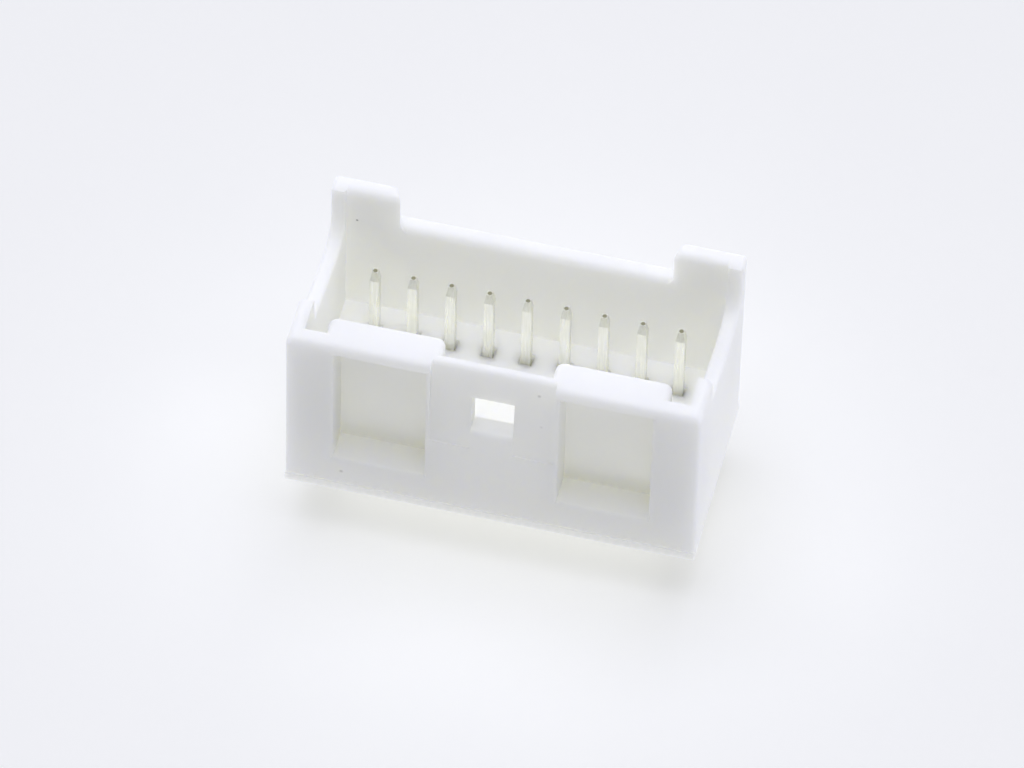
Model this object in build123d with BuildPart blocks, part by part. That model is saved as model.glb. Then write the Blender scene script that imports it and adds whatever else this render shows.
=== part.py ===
from build123d import *
import os

os.makedirs("parts", exist_ok=True)

# Contacts
pin_count = 9
pitch = 2.0
pin_width = 0.5
pin_top = 8.2            # tip above the board seat
tip_taper = 0.6          # height of the coined point
tip_flat = 0.28
tail_length = 3.4        # below the board seat
tail_taper = 0.4
tail_flat = 0.26
pin_clearance = 0.01     # each side, in the moulded hole
pit_width = 0.74         # relief in the floor round each pin
pit_depth = 0.3

# Housing body
end_margin = 2.72        # middle of the last pin to the outside of the side wall
body_depth = 10.3
pin_to_back = 2.5        # middle of the pins to the outside of the back wall
front_height = 11.05
back_drop = 1.03         # the back wall is this much lower than the front wall
ear_rise = 1.1           # and the ears this much higher
ear_width = 3.6          # along the cavity
ear_slant = 0.42         # less than that along the outside
foot_height = 0.5
foot_step = 0.09         # at the front and the back
corner_round = 0.2
front_rim = 0.4          # rounding along the top of the front face
rim_round = 0.2          # outer edge of all the other walls
ear_foot = 0.25          # rounding where an ear rises from the back wall

# Cavity
floor_height = 3.55
side_wall = 0.78
back_wall = 0.92
front_wall = 1.0
mouth_round = 0.45       # lead in along the back of the mouth
side_round = 0.18        # inner edge of the side walls
front_round = 0.28       # inner edge of the front wall and its blocks

# Side walls: a post at the front, then a dip that curves up into the ear
post_depth = 2.85        # from the outside of the front wall
dip_front = 1.55         # this and the next two are depths below the top of the front wall
dip_middle = 1.9
dip_low = 2.1
dip_middle_back = 4.7    # this and the next one are measured from the outside of the back wall
dip_low_back = 2.9
ear_step = 0.2           # the ear over the side wall stands this far in front of the back wall
dip_rise = 1.5           # height of the curve from the low point to the ear face

# Two blocks inside the front wall, each with a pocket on its outside
bay_width = 5.7          # clear width between the blocks
block_thickness = 2.07   # front wall and block together
corner_gap = 1.09        # from the side wall to the block
block_round = 0.45
pocket_rib = 0.6         # pocket side to the bay side of the block
pocket_width = 4.8
pocket_bottom = 2.3
pocket_cover = 0.7       # wall left above the pocket
pocket_depth = 1.73
pocket_round = 0.18

# Latch window in a leaning panel between the pockets
panel_width = 6.46
panel_height = 5.75
panel_top_step = 0.45
panel_bottom_step = 0.04
panel_rim = 0.24         # rounding along the top of the panel
window_cover = 2.08      # wall left above the window
window_height = 2.32
window_width = 2.2
sill_round = 0.25

row_length = (pin_count - 1) * pitch
body_length = row_length + 2 * end_margin
front = -body_depth / 2
back = body_depth / 2
pin_y = back - pin_to_back
cavity_length = body_length - 2 * side_wall
cavity_back = back - back_wall
cavity_front = front + front_wall
pin_points = [((i - (pin_count - 1) / 2) * pitch, pin_y) for i in range(pin_count)]

block_length = cavity_length / 2 - corner_gap - bay_width / 2
block_middle = bay_width / 2 + block_length / 2
block_back = front + block_thickness
pocket_middle = bay_width / 2 + pocket_rib + pocket_width / 2
face_y = cavity_back - ear_step
post_back = front + post_depth
side_face = cavity_length / 2
outside = body_length / 2
ear_height = front_height + ear_rise
back_height = front_height - back_drop
dip_level = front_height - dip_low
pocket_top = front_height - pocket_cover
panel_bottom = front_height - panel_height
window_top = front_height - window_cover
window_bottom = window_top - window_height
clear = 1                # how far the cutting shapes pass beyond the body
near = 0.01              # allowance when an edge is picked by its place


def edges_between(low, high):
    # Housing edges with their middle in the box, taken on both sides of the middle plane
    def inside(edge):
        middle = edge.center()
        place = (abs(middle.X), middle.Y, middle.Z)
        return all(a - near <= value <= b + near for a, value, b in zip(low, place, high))

    return housing.edges().filter_by(inside)


with BuildPart() as housing:
    # Solid body on a slightly deeper foot
    with BuildSketch():
        RectangleRounded(body_length, body_depth, corner_round)
    extrude(amount=ear_height)
    with BuildSketch():
        Rectangle(body_length, body_depth + 2 * foot_step)
    extrude(amount=foot_height)

    # Front wall lower than the ears, back wall lowest between them
    with BuildSketch(Plane.XY.offset(front_height)):
        with Locations((0, front - clear)):
            Rectangle(2 * body_length, face_y - front + clear, align=(Align.CENTER, Align.MIN))
    extrude(amount=ear_height, mode=Mode.SUBTRACT)
    inner_end = outside - ear_width
    outer_end = inner_end + ear_slant * (back + clear - cavity_back) / back_wall
    with BuildSketch(Plane.XY.offset(back_height)):
        Polygon(
            (-inner_end, cavity_back), (inner_end, cavity_back),
            (outer_end, back + clear), (-outer_end, back + clear),
            align=None,
        )
        with Locations((0, cavity_back)):
            Rectangle(2 * inner_end, clear, align=(Align.CENTER, Align.MAX))
    extrude(amount=ear_height, mode=Mode.SUBTRACT)

    # Dip along the top of both side walls, from the post to the ear
    for side in (-1, 1):
        with BuildSketch(Plane.YZ.offset(side * side_face)):
            with BuildLine():
                Polyline(
                    (post_back, ear_height + clear), (post_back, front_height - dip_front),
                    (back - dip_middle_back, front_height - dip_middle),
                )
                Spline(
                    (back - dip_middle_back, front_height - dip_middle),
                    (back - dip_low_back, dip_level),
                    (face_y, dip_level + dip_rise),
                    tangents=[(1, -0.1), (0, 1)],
                )
                Polyline(
                    (face_y, dip_level + dip_rise), (face_y, ear_height + clear),
                    (post_back, ear_height + clear),
                )
            make_face()
        extrude(amount=side * (side_wall + clear), mode=Mode.SUBTRACT)

    # Mating cavity, with the two blocks left standing against the front wall
    with BuildSketch(Plane.XY.offset(floor_height)):
        with Locations((0, cavity_front)):
            Rectangle(cavity_length, cavity_back - cavity_front, align=(Align.CENTER, Align.MIN))
        with Locations((-block_middle, front), (block_middle, front)):
            Rectangle(block_length, block_thickness, align=(Align.CENTER, Align.MIN), mode=Mode.SUBTRACT)
        fillet(vertices().filter_by(lambda corner: abs(corner.Y - block_back) < near), block_round)
    extrude(amount=ear_height, mode=Mode.SUBTRACT)

    # Pockets in the front, one outside each block
    with BuildSketch(Plane.XZ.offset(-front)):
        with Locations((-pocket_middle, pocket_bottom), (pocket_middle, pocket_bottom)):
            Rectangle(pocket_width, pocket_top - pocket_bottom, align=(Align.CENTER, Align.MIN))
    extrude(amount=-pocket_depth, mode=Mode.SUBTRACT)
    pocket_low = (bay_width / 2, front, pocket_bottom)
    pocket_high = (pocket_middle + pocket_width / 2, front, pocket_top)
    fillet(edges_between(pocket_low, pocket_high), pocket_round)

    # Leaning panel, cut back more at its top than at its foot, with a tongue left below the window
    with BuildSketch(Plane.YZ.offset(-panel_width / 2)):
        Polygon(
            (front - clear, panel_bottom), (front + panel_bottom_step, panel_bottom),
            (front + panel_top_step, front_height), (front + panel_top_step, front_height + clear),
            (front - clear, front_height + clear),
            align=None,
        )
    extrude(amount=panel_width, mode=Mode.SUBTRACT)
    with BuildSketch(Plane.XZ.offset(-front)):
        with Locations((0, panel_bottom)):
            Rectangle(window_width, window_top - panel_bottom, align=(Align.CENTER, Align.MIN))
    extrude(amount=-front_wall, mode=Mode.SUBTRACT)
    with BuildSketch(Plane.YZ.offset(-window_width / 2)):
        with Locations((front, panel_bottom)):
            Rectangle(front_wall, window_bottom - panel_bottom, align=(Align.MIN, Align.MIN))
        fillet(vertices().group_by(Axis.Y)[-1].sort_by(Axis.X)[0], sill_round)
    extrude(amount=window_width)

    # Holes for the pins, each with a relief in the floor
    with BuildSketch():
        with Locations(*pin_points):
            Rectangle(pin_width + 2 * pin_clearance, pin_width + 2 * pin_clearance)
    extrude(amount=floor_height, mode=Mode.SUBTRACT)
    with BuildSketch(Plane.XY.offset(floor_height)):
        with Locations(*pin_points):
            Rectangle(pit_width, pit_width)
    extrude(amount=-pit_depth, mode=Mode.SUBTRACT)

    # Lead in round the mouth
    inner_low = (0, cavity_front, front_height)
    inner_high = (side_face - side_round, block_back, front_height)
    fillet(edges_between(inner_low, inner_high), front_round)
    back_rim = edges_between((0, cavity_back, back_height), (near, cavity_back, back_height))
    ear_top = (inner_end, cavity_back, ear_height)
    back_rim += edges_between(ear_top, (side_face, cavity_back, ear_height))
    fillet(back_rim, mouth_round)
    dip_start = (side_face, post_back + side_round, dip_level)
    fillet(edges_between(dip_start, (side_face, face_y, ear_height)), side_round)

    # Softened outer rim, and a rounding where each ear rises from the back wall
    panel_side = panel_width / 2
    panel_edge = front + panel_top_step
    fillet(edges_between((panel_side, front, front_height), (outside, front, front_height)), front_rim)
    fillet(edges_between((0, panel_edge, front_height), (near, panel_edge, front_height)), panel_rim)
    fillet(edges_between((inner_end, cavity_back, back_height), (outer_end, back, back_height)), ear_foot)
    rim = edges_between((outside, front, dip_level), (outside, back - corner_round, ear_height))
    rim += edges_between((0, back, back_height), (outside - corner_round, back, ear_height))
    fillet(rim, rim_round)

housing.part.label = "housing"
export_step(housing.part, "parts/housing.step")

for number, point in enumerate(pin_points, start=1):
    with BuildPart() as pin:
        with BuildSketch(Plane.XY.offset(-tail_length + tail_taper)):
            with Locations(point):
                Rectangle(pin_width, pin_width)
        extrude(amount=pin_top + tail_length - tip_taper - tail_taper)
        with BuildSketch(Plane.XY.offset(pin_top - tip_taper)):
            with Locations(point):
                Rectangle(pin_width, pin_width)
        with BuildSketch(Plane.XY.offset(pin_top)):
            with Locations(point):
                Rectangle(tip_flat, tip_flat)
        loft()
        with BuildSketch(Plane.XY.offset(-tail_length)):
            with Locations(point):
                Rectangle(tail_flat, tail_flat)
        with BuildSketch(Plane.XY.offset(-tail_length + tail_taper)):
            with Locations(point):
                Rectangle(pin_width, pin_width)
        loft()
    pin.part.label = f"pin_{number}"
    export_step(pin.part, f"parts/pin_{number}.step")
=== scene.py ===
# White moulded pin header with nine tinned pins, seen from above its pocketed front wall
import math

import bpy
from mathutils import Matrix, Vector


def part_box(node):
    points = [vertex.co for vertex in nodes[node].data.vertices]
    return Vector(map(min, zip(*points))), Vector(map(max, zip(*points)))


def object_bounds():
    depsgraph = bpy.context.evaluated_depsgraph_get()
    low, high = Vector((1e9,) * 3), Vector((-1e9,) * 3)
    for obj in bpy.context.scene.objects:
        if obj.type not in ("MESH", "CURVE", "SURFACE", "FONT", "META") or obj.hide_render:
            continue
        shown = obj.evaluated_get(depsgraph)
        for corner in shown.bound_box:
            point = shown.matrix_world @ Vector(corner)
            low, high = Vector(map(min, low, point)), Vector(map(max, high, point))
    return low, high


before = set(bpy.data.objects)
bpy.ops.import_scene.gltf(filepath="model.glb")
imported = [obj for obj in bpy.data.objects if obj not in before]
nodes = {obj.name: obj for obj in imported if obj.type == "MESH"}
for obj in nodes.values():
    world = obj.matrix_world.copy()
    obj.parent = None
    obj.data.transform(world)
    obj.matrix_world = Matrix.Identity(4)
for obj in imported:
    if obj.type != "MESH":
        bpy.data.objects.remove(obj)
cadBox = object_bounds()
print("stage: frame loaded,", len(nodes), "nodes")

mm = 0.001


# Shader maths

class Wire:    # one socket of a material; sums and products of wires add their Math nodes
    def __init__(self, tree, socket=None):
        self.tree = tree
        self.socket = socket

    def feed(self, target, value):
        if isinstance(value, Wire):
            self.tree.links.new(value.socket, target)
        else:
            target.default_value = value

    def node(self, kind, settings, values, output=0):    # settings go first, then values or links
        made = self.tree.nodes.new("ShaderNode" + kind)
        for name, value in settings.items():
            setattr(made, name, value)
        for name, value in values.items():
            self.feed(made.inputs[name], value)
        return Wire(self.tree, made.outputs[output]) if made.outputs else None

    def maths(self, operation, first, second):
        return self.node("Math", {"operation": operation}, {0: first, 1: second})

    def __add__(self, other):
        return self.maths("ADD", self, other)

    def __radd__(self, other):
        return self.maths("ADD", other, self)

    def __sub__(self, other):
        return self.maths("SUBTRACT", self, other)

    def __rsub__(self, other):
        return self.maths("SUBTRACT", other, self)

    def __mul__(self, other):
        return self.maths("MULTIPLY", self, other)

    def __rmul__(self, other):
        return self.maths("MULTIPLY", other, self)

    def limited(self, low, high):    # low to high becomes 0 to 1, clamped
        return self.node("MapRange", {"clamp": True}, {"Value": self, "From Min": low, "From Max": high})


def newMaterial(name):
    material = bpy.data.materials.new(name)
    material.use_nodes = True
    material.node_tree.nodes.clear()
    return material, Wire(material.node_tree)


def placeOn(wire):    # the piece's own coordinates in metres
    return wire.node("TexCoord", {}, {}, output="Object")


def blend(wire, factor, first, second):    # mixes two colours, whose sockets are numbers 6, 7 and 2
    return wire.node("Mix", {"data_type": "RGBA"}, {0: factor, 6: first, 7: second}, output=2)


def noise(wire, place, size, detail=2.0, rough=0.5, squeeze=(1.0, 1.0, 1.0), shift=(0.0, 0.0, 0.0)):
    # size is the width of one blotch in metres, squeeze stretches it along an axis
    moved = wire.node("Mapping", {}, {"Vector": place, "Scale": squeeze, "Location": shift})
    values = {"Vector": moved, "Scale": 1 / size, "Detail": detail, "Roughness": rough}
    return wire.node("TexNoise", {}, values)


def spot(wire, place, centre, radius, core):    # 1 within core of the radius, fading to 0 at the radius
    away = wire.node("VectorMath", {"operation": "DISTANCE"}, {0: place, 1: centre}, output="Value")
    return 1 - away.limited(radius * core, radius)


def bumpFrom(wire, height):    # height in metres
    return wire.node("Bump", {}, {"Strength": 1.0, "Distance": 1.0, "Height": height})


def finishSurface(wire, values):
    shader = wire.node("BsdfPrincipled", {}, values)
    wire.node("OutputMaterial", {}, {"Surface": shader})


# Moulded housing

nylon = {
    "colour": (0.995, 0.993, 0.915, 1.0),
    "tired": (0.990, 0.990, 0.880, 1.0),        # slightly yellower patches
    "tiredFrom": 0.45,                          # where the patches start and are full
    "tiredFull": 0.75,
    "tiredShare": 0.35,
    "roughness": 0.55,
    "roughnessSpread": 0.08,
    "refraction": 1.53,
    "patch": 4.5 * mm,
    "drawMark": 0.5 * mm,                       # width of the faint marks along the mould's pull
    "drawMarkSqueeze": (1.0, 1.0, 0.06),        # a mark is long upwards
    "drawMarkDepth": 0.006 * mm,
    "grain": 0.07 * mm,
    "grainDepth": 0.0015 * mm,
    "ripple": 1.3 * mm,
    "rippleDepth": 0.008 * mm,
    "speckColour": (0.16, 0.15, 0.13, 1.0),
    "speckCore": 0.2,                           # dark share of a fleck's radius, faded outside it
    "specks": [                                 # centre in mm, radius in mm and darkness of each fleck
        ((-9.373, 4.23, 9.951), 0.09, 0.8),
        ((2.331, -4.775, 9.996), 0.13, 0.35),
        ((2.52, -4.932, 7.791), 0.12, 0.15),
        ((-7.771, -5.15, 1.373), 0.14, 0.3),
    ],
    "translucency": 1.0,
    "lightReach": 2.5 * mm,                     # how far light wanders inside the plastic
    "lightTint": (1.0, 0.98, 0.80),             # and how far each colour gets of that
}


def mouldedNylon():
    material, wire = newMaterial("natural_nylon")
    place = placeOn(wire)
    patch = noise(wire, place, nylon["patch"], detail=3.0)
    drawMark = noise(wire, place, nylon["drawMark"], detail=3.0, squeeze=nylon["drawMarkSqueeze"])
    grain = noise(wire, place, nylon["grain"], detail=2.0, rough=0.6)
    ripple = noise(wire, place, nylon["ripple"], detail=1.0)
    tiredness = patch.limited(nylon["tiredFrom"], nylon["tiredFull"]) * nylon["tiredShare"]
    tone = blend(wire, tiredness, nylon["colour"], nylon["tired"])
    for centre, radius, darkness in nylon["specks"]:
        speck = spot(wire, place, [value * mm for value in centre], radius * mm, nylon["speckCore"])
        tone = blend(wire, speck * darkness, tone, nylon["speckColour"])
    height = drawMark * nylon["drawMarkDepth"] + ripple * nylon["rippleDepth"] + grain * nylon["grainDepth"]
    spread = (patch - 0.5) * nylon["roughnessSpread"] + (grain - 0.5) * nylon["roughnessSpread"]
    finishSurface(wire, {
        "Base Color": tone,
        "Roughness": spread + nylon["roughness"],
        "Normal": bumpFrom(wire, height),
        "IOR": nylon["refraction"],
        "Subsurface Weight": nylon["translucency"],
        "Subsurface Radius": nylon["lightTint"],
        "Subsurface Scale": nylon["lightReach"],
    })
    return material


# Square pins

tin = {
    "colour": (0.91, 0.91, 0.85, 1.0),
    # dull tin for the real streaks and clouds, and also for the painted shade towards the foot
    "dullAndShade": (0.78, 0.78, 0.70, 1.0),
    "bareEnd": (0.30, 0.29, 0.19, 1.0),         # brass core where the wire was cut off
    "endSpot": 0.15 * mm,                       # radius of the bare brass at each end
    "endCore": 0.6,                             # fully bare share of that radius
    "roughness": 0.30,
    "roughnessSpread": 0.22,
    "streak": 0.07 * mm,
    "streakSqueeze": (1.0, 1.0, 0.035),         # a streak is long along the wire
    "streakShift": (0.37, 0.19, 0.53),          # moves the pattern on from pin to pin
    "streakDepth": 0.002 * mm,
    "streakDullness": 0.5,
    "cloud": 1.1 * mm,
    "cloudDullness": 0.3,
    "marksFrom": 0.4,                           # where streaks and clouds start and are full
    "marksFull": 0.7,
    "pointHeight": 0.6 * mm,                    # length of the coined point
    "pointFade": 0.02 * mm,
    "pointDullness": 0.12,
    "pointRoughness": 0.12,
    "shadeFreeReach": 2.7 * mm,                     # no painted shade this far below the tip
    "shadeFullReach": 4.2 * mm,                      # painted shade is full from here down
    # strength of the painted shade on the wire near the housing
    "footPaintedShade": 0.5,
}


def tinnedWire(name, number, low, high):
    material, wire = newMaterial(name)
    place = placeOn(wire)
    alongZ = wire.node("SeparateXYZ", {}, {"Vector": place}, output="Z")
    middle = (low + high) / 2
    pointFoot = high.z - tin["pointHeight"]
    shift = [number * step for step in tin["streakShift"]]    # each pin has streaks of its own
    streak = noise(wire, place, tin["streak"], detail=3.0, squeeze=tin["streakSqueeze"], shift=shift)
    cloud = noise(wire, place, tin["cloud"], detail=2.0, shift=shift)
    coined = alongZ.limited(pointFoot - tin["pointFade"], pointFoot)
    # painted shade: the wire darkens towards the housing, standing in for the darker surroundings it
    # reflects
    unshadedUpper = alongZ.limited(high.z - tin["shadeFullReach"], high.z - tin["shadeFreeReach"])
    bareTop = spot(wire, place, (middle.x, middle.y, high.z), tin["endSpot"], tin["endCore"])
    bareFoot = spot(wire, place, (middle.x, middle.y, low.z), tin["endSpot"], tin["endCore"])
    dullnessAndShade = (
        streak.limited(tin["marksFrom"], tin["marksFull"]) * tin["streakDullness"]
        + cloud.limited(tin["marksFrom"], tin["marksFull"]) * tin["cloudDullness"]
        + coined * tin["pointDullness"]
        + (1 - unshadedUpper) * tin["footPaintedShade"]
    )
    tone = blend(wire, dullnessAndShade, tin["colour"], tin["dullAndShade"])
    tone = blend(wire, bareTop + bareFoot, tone, tin["bareEnd"])
    spread = (streak - 0.5) * tin["roughnessSpread"] + coined * tin["pointRoughness"]
    finishSurface(wire, {
        "Base Color": tone,
        "Metallic": 1.0,
        "Roughness": spread + tin["roughness"],
        "Normal": bumpFrom(wire, streak * tin["streakDepth"]),
    })
    return material


def dress(node, material):
    for slot in nodes[node].material_slots:
        slot.material = material


dress("housing", mouldedNylon())
print("stage: housing finished")

pinNames = sorted(name for name in nodes if name.startswith("pin_"))
for number, name in enumerate(pinNames):
    low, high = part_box(name)
    dress(name, tinnedWire("tinned_" + name, number, low, high))
print("stage: pins finished,", len(pinNames))


# Table, lights and camera

table = {
    "size": 2.0,                                # metres across
    "colour": (0.79, 0.79, 0.785, 1.0),
    "shade": (0.77, 0.77, 0.77, 1.0),
    "mottle": 9 * mm,
    "glow": (0.985, 0.99, 1.0, 1.0),            # light that comes up through the white table
    "glowStrength": 0.40,
    "roughness": 0.6,
}


def makeTable(height):
    bpy.ops.mesh.primitive_plane_add(size=table["size"], location=(0.0, 0.0, height))
    floor = bpy.context.object
    floor.name = "table_top"
    material, wire = newMaterial("pale_table")
    mottle = noise(wire, placeOn(wire), table["mottle"])
    finishSurface(wire, {
        "Base Color": blend(wire, mottle, table["colour"], table["shade"]),
        "Roughness": table["roughness"],
        "Emission Color": table["glow"],
        "Emission Strength": table["glowStrength"],
    })
    floor.data.materials.append(material)
    return floor


tableTop = makeTable(cadBox[0].z)

softLight = {
    "sky": (0.915, 0.93, 1.00, 1.0),
    "skyStrength": 0.04,
    "cool": (0.90, 0.91, 0.995),
    "plain": (0.91, 0.92, 0.90),
    "boxes": {                                  # place and size in metres, power in watts
        "overhead": {"from": (-0.02, 0.03, 0.55), "size": 0.50, "power": 2.33, "tint": "cool"},
    },
    "fills": {                                  # light on the object alone, so the table's shadows stay soft
        "behind": {"from": (-0.10, 0.50, 0.25), "size": 0.40, "power": 0.9, "tint": "cool"},
        "behindLow": {"from": (-0.05, 0.60, 0.12), "size": 0.30, "power": 0.6, "tint": "plain"},
        "right": {"from": (0.55, 0.02, 0.10), "size": 0.30, "power": 1.32, "tint": "cool"},
        "left": {"from": (-0.55, 0.02, 0.10), "size": 0.30, "power": 1.17, "tint": "cool"},
        "front": {"from": (0.08, -0.28, 0.50), "size": 0.30, "power": 0.45, "tint": "plain"},
        "cavity": {"from": (0.0, -0.02, 0.50), "size": 0.12, "power": 0.25, "tint": "plain"},
    },
}


def softBox(name, facts, target):
    lamp = bpy.data.lights.new(name, "AREA")
    lamp.shape = "SQUARE"
    lamp.size = facts["size"]
    lamp.energy = facts["power"]
    lamp.color = softLight[facts["tint"]]
    holder = bpy.data.objects.new(name, lamp)
    holder.location = facts["from"]
    holder.rotation_euler = (target - Vector(facts["from"])).to_track_quat("-Z", "Y").to_euler()
    bpy.context.scene.collection.objects.link(holder)
    return holder


def spareTable(holder, floor):    # keeps one light off the table
    spared = bpy.data.collections.new("table_without_" + holder.name)
    spared.objects.link(floor)
    holder.light_linking.receiver_collection = spared
    spared.collection_objects[0].light_linking.link_state = "EXCLUDE"


objectMiddle = (cadBox[0] + cadBox[1]) / 2
for name, facts in softLight["boxes"].items():
    softBox(name + "_softbox", facts, objectMiddle)
for name, facts in softLight["fills"].items():
    spareTable(softBox(name + "_fill", facts, objectMiddle), tableTop)
world = bpy.data.worlds.new("studio")
world.use_nodes = True
background = world.node_tree.nodes["Background"]
background.inputs["Color"].default_value = softLight["sky"]
background.inputs["Strength"].default_value = softLight["skyStrength"]
bpy.context.scene.world = world
bpy.context.scene.view_settings.view_transform = "Standard"

viewpoint = {
    "aim": (-0.837 * mm, 3.242 * mm, 0.626 * mm),    # what the middle of the picture looks at
    "azimuth": 12.286,                                # degrees to the right of straight ahead
    "elevation": 50.404,                              # and above level
    "roll": 1.763,
    "distance": 514.4 * mm,
    "lens": 351.75,
}


def makeCamera():
    azimuth = math.radians(viewpoint["azimuth"])
    elevation = math.radians(viewpoint["elevation"])
    back = Vector((
        math.sin(azimuth) * math.cos(elevation),
        -math.cos(azimuth) * math.cos(elevation),
        math.sin(elevation),
    ))
    side = Vector((math.cos(azimuth), math.sin(azimuth), 0.0))
    side.rotate(Matrix.Rotation(math.radians(viewpoint["roll"]), 3, back))
    up = back.cross(side)
    turn = Matrix((side, up, back)).transposed().to_4x4()
    camera = bpy.data.objects.new("camera", bpy.data.cameras.new("camera"))
    camera.data.lens = viewpoint["lens"]
    camera.matrix_world = Matrix.Translation(Vector(viewpoint["aim"]) + back * viewpoint["distance"]) @ turn
    bpy.context.scene.collection.objects.link(camera)
    bpy.context.scene.camera = camera


makeCamera()
print("stage: table, lights and camera set")
